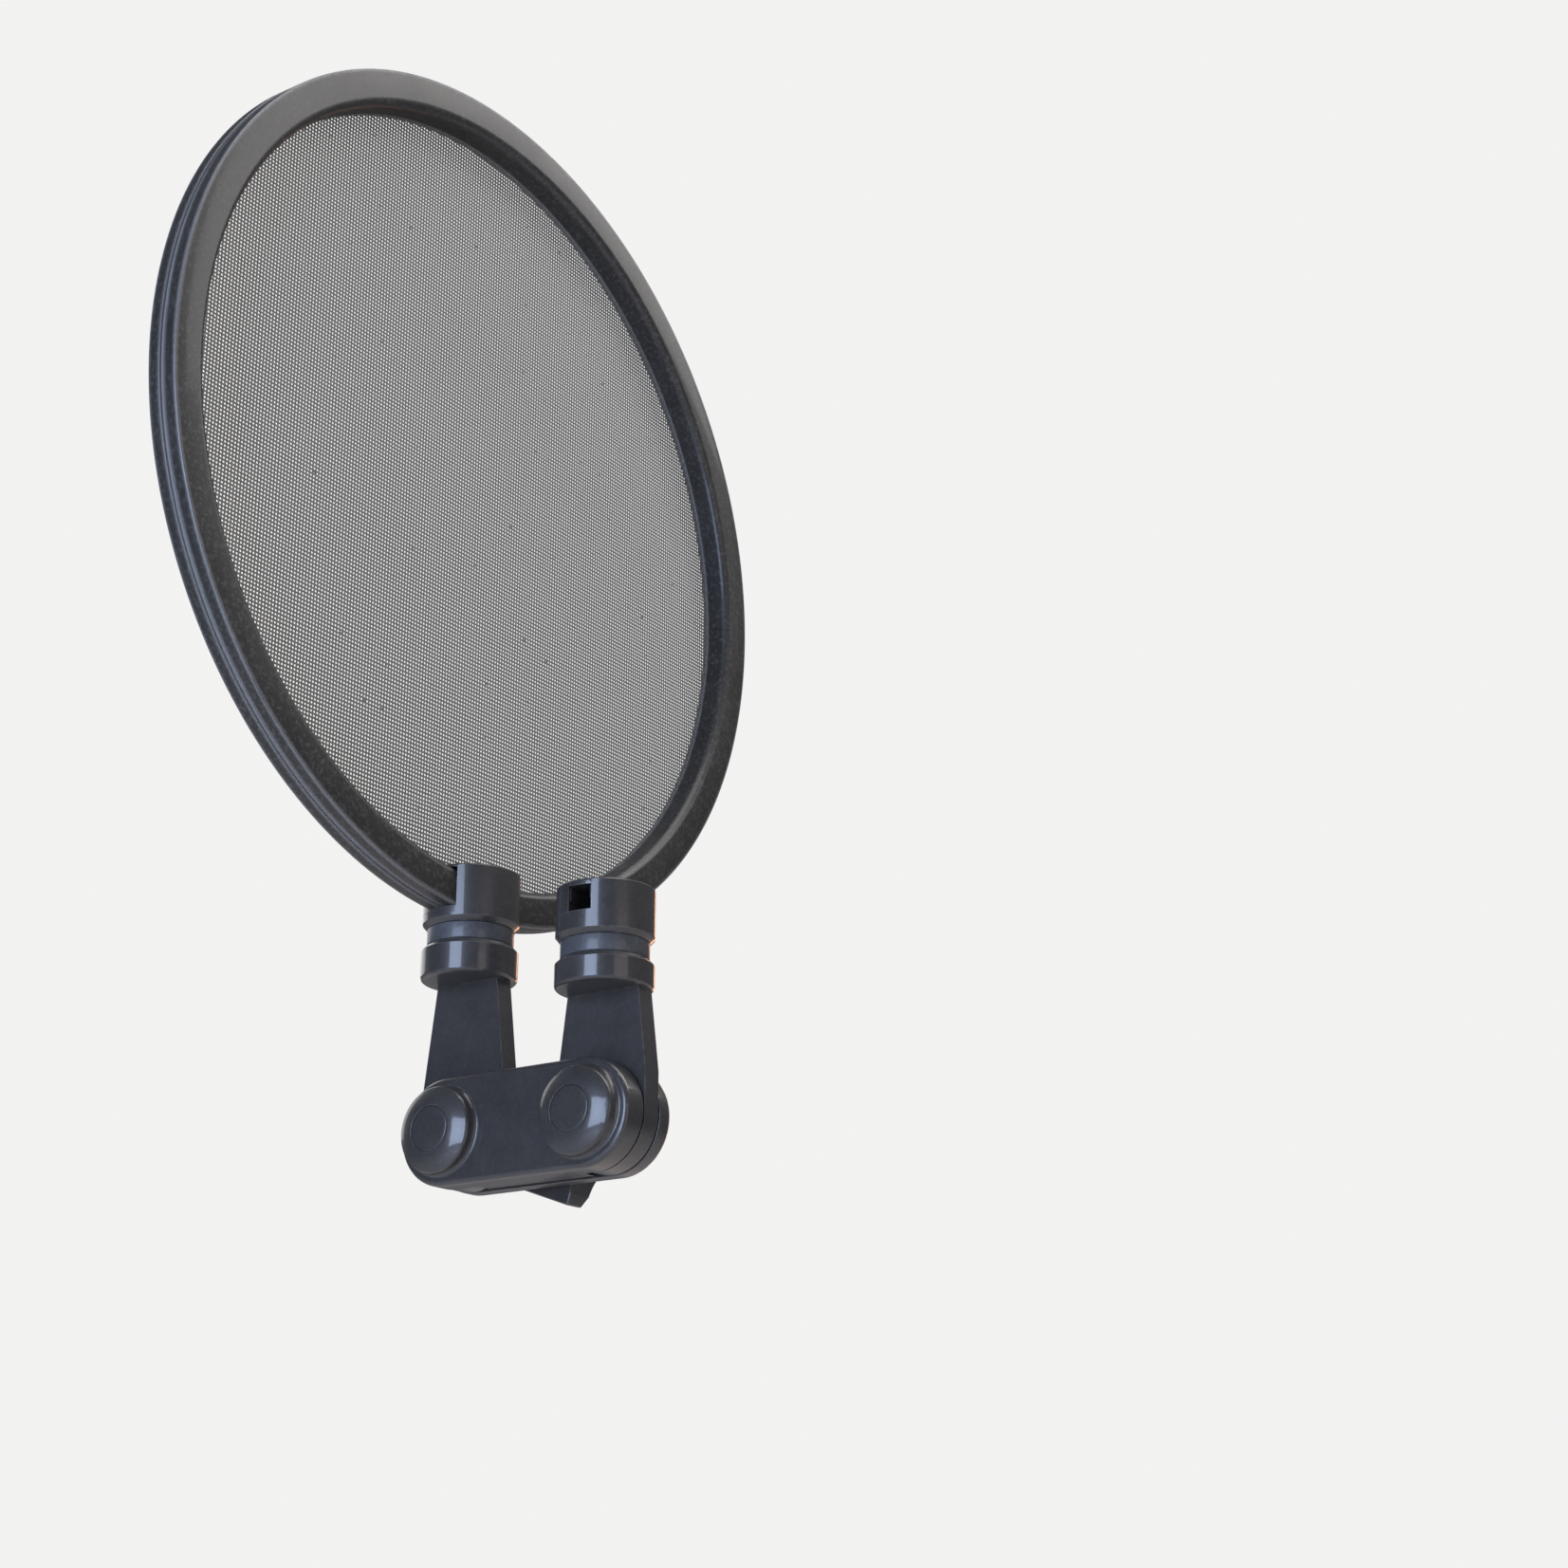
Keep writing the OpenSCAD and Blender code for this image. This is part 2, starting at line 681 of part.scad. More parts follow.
module tension_ring() {
    color("#2c2d30")
        on_hoop()
            rotate_extrude($fn = 240)
                polygon([[hoop_ri + skirt_w + 0.1, screen_a - tension_h - 0.1],
                         [hoop_ri + pocket_w - 0.1, screen_a - tension_h - 0.1],
                         [hoop_ri + pocket_w - 0.1, screen_a + screen_t / 2 - 0.03],
                         [hoop_ri + skirt_w + 0.1, screen_a + screen_t / 2 - 0.03]]);
}

module screen() {
    color("#9c9c9a")
        on_hoop()
            translate([0, 0, screen_a - screen_t / 2])
                cylinder(r = hoop_ri + skirt_w, h = screen_t, $fn = 240);
}

ring_clamp_body();
ring_clamp_jaw();
ring_clamp_screws();
ring_clamp_pads();
inner_swivel_stud();
inner_friction_ring();
inner_wave_washer();
inner_arm();
inner_grub_screw();
front_link_plate();
back_link_plate();
link_spacer();
pivot_screws();
pivot_caps();
pivot_nuts();
pivot_washers();
clamp_stud();
knob_washer();
wing_knob();
knob_insert();
outer_arm();
outer_grub_screw();
outer_swivel_stud();
outer_friction_ring();
outer_wave_washer();
hoop_clamp_body();
hoop_clamp_jaw();
hoop_clamp_screws();
hoop_rear_ring();
hoop_front_ring();
tension_ring();
screen();
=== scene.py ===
"""Finishes a round pop filter: its hoop, woven net, swivels, link and knob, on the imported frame."""

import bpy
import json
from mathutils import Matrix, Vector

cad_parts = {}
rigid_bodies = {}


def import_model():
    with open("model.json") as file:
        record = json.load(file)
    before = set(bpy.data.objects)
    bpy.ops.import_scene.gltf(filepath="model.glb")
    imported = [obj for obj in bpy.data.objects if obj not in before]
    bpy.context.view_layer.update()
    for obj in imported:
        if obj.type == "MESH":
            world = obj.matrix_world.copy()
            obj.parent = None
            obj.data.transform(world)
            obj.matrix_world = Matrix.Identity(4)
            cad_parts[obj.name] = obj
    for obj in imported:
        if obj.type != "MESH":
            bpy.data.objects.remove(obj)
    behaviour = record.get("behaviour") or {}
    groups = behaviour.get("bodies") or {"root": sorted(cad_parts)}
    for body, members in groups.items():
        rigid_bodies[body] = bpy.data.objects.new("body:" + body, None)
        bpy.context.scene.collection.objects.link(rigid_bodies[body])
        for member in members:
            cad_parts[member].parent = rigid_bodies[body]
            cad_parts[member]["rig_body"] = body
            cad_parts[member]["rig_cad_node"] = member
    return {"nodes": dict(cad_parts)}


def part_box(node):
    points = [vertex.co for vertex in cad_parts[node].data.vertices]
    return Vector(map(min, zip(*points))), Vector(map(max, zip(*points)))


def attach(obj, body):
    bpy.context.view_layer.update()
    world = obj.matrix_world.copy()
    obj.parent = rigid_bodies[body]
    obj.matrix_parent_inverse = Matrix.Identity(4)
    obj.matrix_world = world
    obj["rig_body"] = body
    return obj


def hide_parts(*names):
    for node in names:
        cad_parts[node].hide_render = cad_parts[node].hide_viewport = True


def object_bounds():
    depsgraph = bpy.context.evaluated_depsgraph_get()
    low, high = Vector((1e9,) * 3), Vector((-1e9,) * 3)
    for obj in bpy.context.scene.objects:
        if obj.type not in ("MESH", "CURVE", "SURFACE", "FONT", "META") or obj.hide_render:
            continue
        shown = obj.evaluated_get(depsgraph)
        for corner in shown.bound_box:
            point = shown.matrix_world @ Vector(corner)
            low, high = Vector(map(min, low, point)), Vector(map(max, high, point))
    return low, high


bl_info = {
    "name": "Pop Filter Finish",
    "version": (1, 0, 0),
    "blender": (4, 5, 0),
    "location": "View3D > Sidebar > Pop Filter",
    "description": "Models and paints a round pop filter with a swing link on its packed frame",
    "category": "Object",
}

import json
from math import cos, pi, radians, sin

import bpy
from mathutils import Matrix, Vector

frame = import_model()

MM = 0.001
CAD_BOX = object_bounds()


# ---- settings ------------------------------------------------------------------------


class HoopSettings(bpy.types.PropertyGroup):
    soft_edge: bpy.props.FloatProperty(
        name="Soft edge",
        description="Radius of the rounded inner edge on the microphone side",
        default=1.9 * MM,
        unit="LENGTH",
    )
    edge_break: bpy.props.FloatProperty(
        name="Edge break",
        description="Radius of the other edges of the hoop",
        default=0.35 * MM,
        unit="LENGTH",
    )
    seam_width: bpy.props.FloatProperty(
        name="Seam width",
        description="Width of the groove where the two halves meet",
        default=1.0 * MM,
        unit="LENGTH",
    )
    seam_depth: bpy.props.FloatProperty(
        name="Seam depth",
        description="Depth of the groove where the two halves meet",
        default=0.5 * MM,
        unit="LENGTH",
    )
    seam_round: bpy.props.FloatProperty(
        name="Seam edge",
        description="Radius of the two edges of the groove",
        default=0.12 * MM,
        unit="LENGTH",
    )
    net_grip: bpy.props.FloatProperty(
        name="Net grip",
        description="How far the net runs in between the two halves",
        default=2.0 * MM,
        unit="LENGTH",
    )
    net_gap: bpy.props.FloatProperty(
        name="Net gap",
        description="Gap from the middle of the net to each half",
        default=0.05 * MM,
        unit="LENGTH",
    )
    lip_width: bpy.props.FloatProperty(
        name="Lip width",
        description="Width of the rear half's lip, which the front half fits round",
        default=4.2 * MM,
        unit="LENGTH",
    )
    lip_play: bpy.props.FloatProperty(
        name="Lip play",
        description="Gap between the lip and the front half",
        default=0.1 * MM,
        unit="LENGTH",
    )
    joint_gap: bpy.props.FloatProperty(
        name="Joint gap",
        description="Gap from the joint's plane to each half",
        default=0.02 * MM,
        unit="LENGTH",
    )
    steps: bpy.props.IntProperty(
        name="Steps", description="Segments round the hoop", default=256, min=64
    )


class NetSettings(bpy.types.PropertyGroup):
    pitch: bpy.props.FloatProperty(
        name="Thread pitch",
        description="Distance between two threads of the weave",
        default=0.84 * MM,
        unit="LENGTH",
    )
    opening: bpy.props.FloatProperty(
        name="Opening",
        description="Radius of the openings, as a share of the pitch",
        default=0.29,
    )
    drift: bpy.props.FloatProperty(
        name="Drift",
        description="How far the threads wander, as a share of the pitch",
        default=0.12,
    )
    thread: bpy.props.FloatVectorProperty(
        name="Thread",
        description="Colour of the threads",
        subtype="COLOR",
        default=(0.135, 0.135, 0.131),
    )
    fabric_depth: bpy.props.FloatProperty(
        name="Thickness",
        description="Thickness of the net",
        default=0.04 * MM,
        unit="LENGTH",
    )


class SwivelSettings(bpy.types.PropertyGroup):
    bore: bpy.props.FloatProperty(
        name="Bore",
        description="Radius of a friction ring's hole for its stud",
        default=3.55 * MM,
        unit="LENGTH",
    )
    ring_edge: bpy.props.FloatProperty(
        name="Ring edge",
        description="Radius of a friction ring's outer edges",
        default=0.25 * MM,
        unit="LENGTH",
    )
    seat_share: bpy.props.FloatProperty(
        name="Seat radius",
        description="Radius of the seat in a friction ring's top, as a share of the ring's",
        default=0.66,
    )
    seat_depth: bpy.props.FloatProperty(
        name="Seat depth",
        description="Depth of the seat in a friction ring's top",
        default=2.2 * MM,
        unit="LENGTH",
    )


class LinkSettings(bpy.types.PropertyGroup):
    cap_edge: bpy.props.FloatProperty(
        name="Cap edge",
        description="Radius of a pivot cap's outer edge",
        default=0.3 * MM,
        unit="LENGTH",
    )
    cap_flat: bpy.props.FloatProperty(
        name="Cap flat",
        description="Radius of the inner ring of a cap's face, as a share of the cap's",
        default=0.6,
    )
    knob_edge: bpy.props.FloatProperty(
        name="Knob edge",
        description="Radius of the rounded edges of the wing knob",
        default=0.5 * MM,
        unit="LENGTH",
    )


class PaintSettings(bpy.types.PropertyGroup):
    clamp: bpy.props.FloatVectorProperty(
        name="Arms and clamps",
        description="Colour of the blue-grey enamel",
        subtype="COLOR",
        default=(0.047, 0.045, 0.047),
    )
    hoop: bpy.props.FloatVectorProperty(
        name="Hoop",
        description="Colour of the grained hoop enamel",
        subtype="COLOR",
        default=(0.031, 0.030, 0.030),
    )
    swivel: bpy.props.FloatVectorProperty(
        name="Friction rings",
        description="Colour of the lighter friction rings",
        subtype="COLOR",
        default=(0.080, 0.084, 0.096),
    )
    edge: bpy.props.FloatProperty(
        name="Edge radius",
        description="Radius of the rounded edges of the cast parts",
        default=0.22 * MM,
        unit="LENGTH",
    )


class StageSettings(bpy.types.PropertyGroup):
    camera_place: bpy.props.FloatVectorProperty(
        name="Camera place",
        description="Where the camera stands",
        subtype="TRANSLATION",
        unit="LENGTH",
        default=(-359.59 * MM, -276.35 * MM, -129.74 * MM),
    )
    heading: bpy.props.FloatProperty(
        name="Heading",
        description="Compass direction of the camera, from +Y towards +X",
        subtype="ANGLE",
        default=radians(56.797),
    )
    pitch: bpy.props.FloatProperty(
        name="Pitch",
        description="How far the camera looks up",
        subtype="ANGLE",
        default=radians(19.221),
    )
    roll: bpy.props.FloatProperty(
        name="Roll",
        description="Turn of the camera about its line of sight",
        subtype="ANGLE",
        default=radians(-0.164),
    )
    lens: bpy.props.FloatProperty(
        name="Lens", description="Focal length in millimetres", default=56.15
    )
    sensor: bpy.props.FloatProperty(
        name="Sensor", description="Width of the sensor in millimetres", default=36
    )
    floor_width: bpy.props.FloatProperty(
        name="Floor width", description="Side of the square floor", default=14, unit="LENGTH"
    )
    floor_height: bpy.props.FloatProperty(
        name="Floor height", description="Height of the floor", default=-0.45, unit="LENGTH"
    )


# ---- shader maths --------------------------------------------------------------------


class Wire:
    """An output of a material's node, so that shader maths can be written as an expression."""

    def __init__(self, tree, socket=None):
        self.tree = tree
        self.socket = socket

    def node(self, kind, settings=(), sockets=(), output=0):
        """Adds a node, gives it its settings and then the values or links of its sockets."""
        made = self.tree.nodes.new(kind)
        for name, value in dict(settings).items():
            setattr(made, name, value)
        for name, value in dict(sockets).items():
            if isinstance(value, Wire):
                self.tree.links.new(value.socket, made.inputs[name])
            else:
                made.inputs[name].default_value = value
        return Wire(self.tree, made.outputs[output])

    def math(self, operation, *values):
        """A Math node's result for these values or links."""
        return self.node("ShaderNodeMath", {"operation": operation}, dict(enumerate(values)))

    def __add__(self, other):
        return self.math("ADD", self, other)

    def __radd__(self, other):
        return self.math("ADD", other, self)

    def __sub__(self, other):
        return self.math("SUBTRACT", self, other)

    def __rsub__(self, other):
        return self.math("SUBTRACT", other, self)

    def __mul__(self, other):
        return self.math("MULTIPLY", self, other)

    def __rmul__(self, other):
        return self.math("MULTIPLY", other, self)

    def __truediv__(self, other):
        return self.math("DIVIDE", self, other)

    def __rtruediv__(self, other):
        return self.math("DIVIDE", other, self)

    def clamped(self):
        """This value, held between 0 and 1."""
        return self.node("ShaderNodeClamp", {}, {"Value": self})

    def step(self, start, end):
        """0 below start, 1 above end, and a smooth rise between."""
        return self.node(
            "ShaderNodeMapRange",
            {"interpolation_type": "SMOOTHSTEP"},
            {"Value": self, "From Min": start, "From Max": end},
        )

    def blend(self, low, high):
        """A colour that goes from low to high as this value goes from 0 to 1."""
        return self.node(
            "ShaderNodeMix",
            {"data_type": "RGBA"},
            {0: self, 6: colour_of(low), 7: colour_of(high)},
            2,
        )

    def part(self, axis):
        """One part of this vector: X, Y or Z."""
        return self.node("ShaderNodeSeparateXYZ", {}, {"Vector": self}, axis)

    def noise(self, place, scale, detail=3.0, roughness=0.5):
        """Smooth noise around 0.5, finer at a higher scale."""
        return self.node(
            "ShaderNodeTexNoise",
            {},
            {"Vector": place, "Scale": scale, "Detail": detail, "Roughness": roughness},
        )


def colour_of(value):
    """A colour or a link as the Mix node takes it."""
    return value if isinstance(value, Wire) else (*value, 1)


def scaled(colour, factor):
    """A colour made lighter or darker."""
    return tuple(c * factor for c in colour)


def material(name):
    """A new node material, and the start of its expressions with its shader."""
    made = bpy.data.materials.new(name)
    made.use_nodes = True
    shader = made.node_tree.nodes["Principled BSDF"]
    return made, Wire(made.node_tree), shader


def connect(shader, **sockets):
    """Gives the shader's sockets their values or links. Spaces in a name are underscores."""
    for name, value in sockets.items():
        socket = shader.inputs[name.replace("_", " ")]
        if isinstance(value, Wire):
            value.tree.links.new(value.socket, socket)
        else:
            socket.default_value = value


def edge_wear_and_highlight(wires, radius):
    """1 along sharp edges and 0 on open faces: where edge wear and the painted edge highlight go."""
    rounded = wires.node("ShaderNodeBevel", {"samples": 4}, {"Radius": radius})
    flat = wires.node("ShaderNodeNewGeometry", output="Normal")
    along = wires.node(
        "ShaderNodeVectorMath", {"operation": "DOT_PRODUCT"}, {0: rounded, 1: flat}, "Value"
    )
    return (1 - along).step(0.01, 0.08)


def hairlines(wires, place, turn, spread):
    """Thin straight scratches that run one way."""
    turned = wires.node(
        "ShaderNodeMapping", {}, {"Vector": place, "Rotation": turn, "Scale": (1, 14, 1)}
    )
    field = wires.noise(turned, spread, detail=2.0, roughness=0.6)
    line = 1 - wires.math("ABSOLUTE", field - 0.5).step(0.0, 0.0035)
    gaps = wires.noise(place, spread * 0.7, detail=1.0).step(0.56, 0.66)
    return line * gaps


# ---- materials -----------------------------------------------------------------------


def enamel(name, colour, grain, roughness, coat, rim_width, rim, cover):
    """Satin enamel on metal, with fine grain, soft mottling, hairlines and pale edges that are partly
    wear and partly painted highlight.

    The pale edges, part wear and part painted highlight, are rim_width wide, as bright as rim says,
    over a share that cover raises.
    """
    made, wires, shader = material(name)
    place = wires.node("ShaderNodeTexCoord", output="Object")
    mottle = wires.noise(place, 90, detail=5.0, roughness=0.62)
    speckle = wires.noise(place, 1100, detail=3.0, roughness=0.75)
    pits = wires.noise(place, 900, detail=2.0, roughness=0.6).step(0.60, 0.72)
    patches = wires.noise(place, 420, detail=4.0, roughness=0.7).step(0.5 - cover, 0.7 - cover)
    wear_and_highlight = edge_wear_and_highlight(wires, rim_width) * patches
    lines = hairlines(wires, place, turn=(0.4, 0.9, 0.3), spread=160)
    base = mottle.step(0.25, 0.75).blend(scaled(colour, 0.82), scaled(colour, 1.18))
    base = (speckle.step(0.48, 0.68) * grain).blend(base, scaled(colour, 2.6))
    base = (pits * grain * 0.3).blend(base, scaled(colour, 0.45))
    base = (lines * 0.3).blend(base, scaled(colour, 2.4))
    # Painted highlight: pale paint along the edges stands partly for wear and partly for the bright
    # lines of light on the edges.
    base = (wear_and_highlight * rim).blend(base, (0.33, 0.33, 0.34))
    sheen = roughness + (mottle - 0.5) * 0.16 + (speckle - 0.5) * 0.35 * grain - wear_and_highlight * 0.05
    height = speckle * grain + mottle * 0.2 - lines * 0.6
    bump = wires.node(
        "ShaderNodeBump", {}, {"Strength": 0.3, "Distance": 0.05 * MM, "Height": height}
    )
    connect(
        shader,
        Base_Color=base,
        Roughness=sheen.clamped(),
        Metallic=0.2,
        Normal=bump,
        Coat_Weight=(coat - wear_and_highlight * 0.2 - lines * 0.2).clamped(),
        Coat_Roughness=0.09,
    )
    return made


def turned_steel(name, colour, roughness):
    """Turned steel with fine machining lines and slight stains."""
    made, wires, shader = material(name)
    place = wires.node("ShaderNodeTexCoord", output="Object")
    drawn_out = wires.node("ShaderNodeMapping", {}, {"Vector": place, "Scale": (30, 1, 1)})
    lines = wires.noise(drawn_out, 300, detail=2.0)
    stain = wires.noise(place, 240, detail=4.0)
    base = stain.step(0.35, 0.7).blend(scaled(colour, 0.8), colour)
    bump = wires.node(
        "ShaderNodeBump", {}, {"Strength": 0.3, "Distance": 0.02 * MM, "Height": lines}
    )
    connect(
        shader,
        Base_Color=base,
        Metallic=1.0,
        Roughness=(roughness + (stain - 0.5) * 0.2 + (lines - 0.5) * 0.1).clamped(),
        Normal=bump,
    )
    return made


def moulded(name, colour, roughness):
    """Moulded rubber or plastic with a fine matt texture."""
    made, wires, shader = material(name)
    place = wires.node("ShaderNodeTexCoord", output="Object")
    cells = wires.noise(place, 1800, detail=3.0, roughness=0.6)
    dust = wires.noise(place, 260, detail=4.0, roughness=0.7).step(0.5, 0.8)
    base = (dust * 0.3).blend(colour, scaled(colour, 1.5))
    bump = wires.node(
        "ShaderNodeBump", {}, {"Strength": 0.25, "Distance": 0.05 * MM, "Height": cells}
    )
    connect(
        shader,
        Base_Color=base,
        Roughness=(roughness + (cells - 0.5) * 0.15).clamped(),
        Normal=bump,
    )
    return made


def woven_net(settings):
    """Fine woven net: crossing threads with a round opening in every square, and painted shade and
    highlight over the threads' relief.
    """
    made, wires, shader = material("woven_net")
    place = wires.node("ShaderNodeTexCoord", output="Object")
    drift = (wires.noise(place, 350, detail=2.0) - 0.5) * settings.drift
    across = place.part("X") / settings.pitch + drift
    along = place.part("Z") / settings.pitch + drift
    from_column = (wires.math("FRACT", across) - 0.5) / settings.opening
    from_row = (wires.math("FRACT", along) - 0.5) / settings.opening
    from_middle = from_column * from_column + from_row * from_row
    solid = from_middle.step(0.72, 1.3)
    crest_and_shade = from_middle.step(1.0, 3.2)
    fuzz = wires.noise(place, 5200, detail=2.0, roughness=0.7)
    patch = wires.noise(place, 45, detail=3.0)
    speck = wires.noise(place, 520, detail=1.0, roughness=0.3).step(0.76, 0.79)
    # Painted shade and highlight: the threads are painted darker towards the openings and lighter on
    # their crests.
    base = (crest_and_shade * 0.55 + fuzz * 0.3 + patch * 0.25).clamped().blend(
        scaled(settings.thread, 0.65), scaled(settings.thread, 1.45)
    )
    base = (speck * 0.5).blend(base, (0.09, 0.09, 0.09))
    bump = wires.node(
        "ShaderNodeBump",
        {},
        {"Strength": 0.5, "Distance": 0.1 * MM, "Height": crest_and_shade + fuzz * 0.3},
    )
    connect(
        shader,
        Base_Color=base,
        Roughness=(0.72 + (fuzz - 0.5) * 0.3).clamped(),
        Alpha=wires.math("MAXIMUM", solid, speck * 0.6),
        Normal=bump,
        Sheen_Weight=0.25,
    )
    return made


# ---- modelling helpers ---------------------------------------------------------------


def arc(centre_r, centre_y, radius, start, end, steps=6):
    """Points of an arc in the (radius, depth) plane of a turned profile, in degrees."""
    turns = [radians(start + (end - start) * i / steps) for i in range(steps + 1)]
    return [(centre_r + radius * cos(t), centre_y + radius * sin(t)) for t in turns]


def select_nothing():
    """Leaves edit mode and clears the selection."""
    if bpy.context.object and bpy.context.object.mode != "OBJECT":
        bpy.ops.object.mode_set(mode="OBJECT")
    bpy.ops.object.select_all(action="DESELECT")


def trace(points, closed):
    """Draws a line of edges by extruding one vertex from point to point. Stays in edit mode."""
    select_nothing()
    bpy.ops.mesh.primitive_plane_add(size=MM, location=points[0])
    bpy.ops.object.mode_set(mode="EDIT")
    bpy.ops.mesh.select_all(action="SELECT")
    bpy.ops.mesh.merge(type="CENTER")
    bpy.ops.mesh.select_mode(type="VERT")
    for last, point in zip(points, points[1:]):
        step = Vector(point) - Vector(last)
        bpy.ops.mesh.extrude_region_move(TRANSFORM_OT_translate={"value": step})
    if closed:
        bpy.ops.object.mode_set(mode="OBJECT")
        vertices = bpy.context.object.data.vertices
        vertices[0].select = True
        vertices[len(vertices) - 1].select = True
        bpy.ops.object.mode_set(mode="EDIT")
        bpy.ops.mesh.edge_face_add()
    bpy.ops.mesh.select_all(action="SELECT")


def place_in_mesh(piece):
    """Leaves the object at the origin, unturned, with its place in its mesh."""
    bpy.ops.object.mode_set(mode="OBJECT")
    piece.select_set(True)
    bpy.ops.object.transform_apply(location=True, rotation=True, scale=True)


def turned(name, profile, centre, axis, steps=96, closed=True):
    """A solid of revolution. The profile's points are (radius, distance along the axis)."""
    axis = Vector(axis)
    outward = Vector((0, 0, 1)) if axis.z == 0 else Vector((1, 0, 0))
    centre = Vector(centre)
    points = [centre + outward * r + axis * along for r, along in profile]
    trace(points, closed)
    bpy.ops.mesh.spin(steps=steps, angle=2 * pi, center=centre, axis=axis, use_auto_merge=True)
    bpy.ops.mesh.select_all(action="SELECT")
    bpy.ops.mesh.remove_doubles(threshold=0.002 * MM)
    bpy.ops.mesh.normals_make_consistent(inside=False)
    piece = bpy.context.object
    place_in_mesh(piece)
    piece.name = name
    bpy.ops.object.shade_smooth_by_angle(angle=radians(38))
    return piece


def apply_modifier(piece, kind, **settings):
    """Adds a modifier, gives it its settings and applies it."""
    select_nothing()
    bpy.context.view_layer.objects.active = piece
    piece.select_set(True)
    modifier = piece.modifiers.new(kind.title(), kind)
    for name, value in settings.items():
        setattr(modifier, name, value)
    bpy.ops.object.modifier_apply(modifier=modifier.name)


def cast_copy(node, name, edge, segments=2):
    """A cast part from its CAD shape, with its facets merged and every sharp edge rounded."""
    select_nothing()
    source = frame["nodes"][node]
    bpy.context.view_layer.objects.active = source
    source.select_set(True)
    bpy.ops.object.duplicate()
    piece = bpy.context.object
    piece.name = name
    piece.parent = None
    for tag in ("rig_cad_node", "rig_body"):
        del piece[tag]
    bpy.ops.object.mode_set(mode="EDIT")
    bpy.ops.mesh.select_all(action="SELECT")
    bpy.ops.mesh.remove_doubles(threshold=0.004 * MM)
    bpy.ops.mesh.dissolve_limited(angle_limit=radians(0.6))
    place_in_mesh(piece)
    apply_modifier(
        piece,
        "BEVEL",
        width=edge,
        segments=segments,
        limit_method="ANGLE",
        angle_limit=radians(38),
        loop_slide=False,
    )
    bpy.ops.object.shade_smooth_by_angle(angle=radians(40))
    apply_modifier(piece, "WEIGHTED_NORMAL", keep_sharp=True, weight=60)
    return piece


def finish_piece(piece, look, body, slot, *nodes):
    """Paints a piece, lets it ride on its body and stand for its CAD nodes."""
    piece.data.materials.clear()
    piece.data.materials.append(look)
    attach(piece, body)
    if nodes:
        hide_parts(*nodes)
    return piece


def repaint(nodes, look):
    """Gives CAD nodes that stay as they are a finished material."""
    for node in nodes:
        mesh = frame["nodes"][node].data
        mesh.materials.clear()
        mesh.materials.append(look)


def look_named(name, maker, colour, **values):
    """A material, made the first time it is asked for."""
    return bpy.data.materials.get(name) or maker(name, colour, **values)


def dark_enamel():
    """Blue-grey enamel of the clamps, arms, link and knob."""
    return look_named(
        "blue_grey_enamel",
        enamel,
        bpy.context.scene.pop_paint.clamp,
        grain=0.16,
        roughness=0.38,
        coat=0.75,
        rim_width=0.3 * MM,
        rim=0.4,
        cover=0.14,
    )


def hoop_enamel():
    """Grained enamel of the hoop, pale along its edges, partly wear and partly painted highlight."""
    return look_named(
        "grained_hoop_enamel",
        enamel,
        bpy.context.scene.pop_paint.hoop,
        grain=1.0,
        roughness=0.44,
        coat=0.2,
        rim_width=1.3 * MM,
        rim=0.95,
        cover=0.35,
    )


def ring_enamel():
    """Lighter enamel of the friction rings."""
    return look_named(
        "friction_ring_enamel",
        enamel,
        bpy.context.scene.pop_paint.swivel,
        grain=0.2,
        roughness=0.45,
        coat=0.25,
        rim_width=0.3 * MM,
        rim=0.4,
        cover=0.1,
    )


def plain_steel():
    """Bright steel of the studs, washers and pivots."""
    return look_named("turned_steel", turned_steel, (0.55, 0.56, 0.58), roughness=0.32)


def black_steel():
    """Blackened steel of the small screws."""
    return look_named("blackened_steel", turned_steel, (0.09, 0.09, 0.10), roughness=0.38)


def black_moulding():
    """Black plastic of the tension ring."""
    return look_named("black_moulding", moulded, (0.03, 0.03, 0.032), roughness=0.55)


def rubber_pad():
    """Black rubber of the clamp's pads."""
    return look_named("rubber_pad", moulded, (0.02, 0.02, 0.021), roughness=0.7)


def nylon_washer():
    """Off-white nylon of the pivots' friction washers."""
    return look_named("nylon_washer", moulded, (0.55, 0.53, 0.48), roughness=0.45)


def brass_insert():
    """Brass of the knob's threaded insert."""
    return look_named("brass_insert", turned_steel, (0.62, 0.45, 0.20), roughness=0.35)


# ---- pieces --------------------------------------------------------------------------


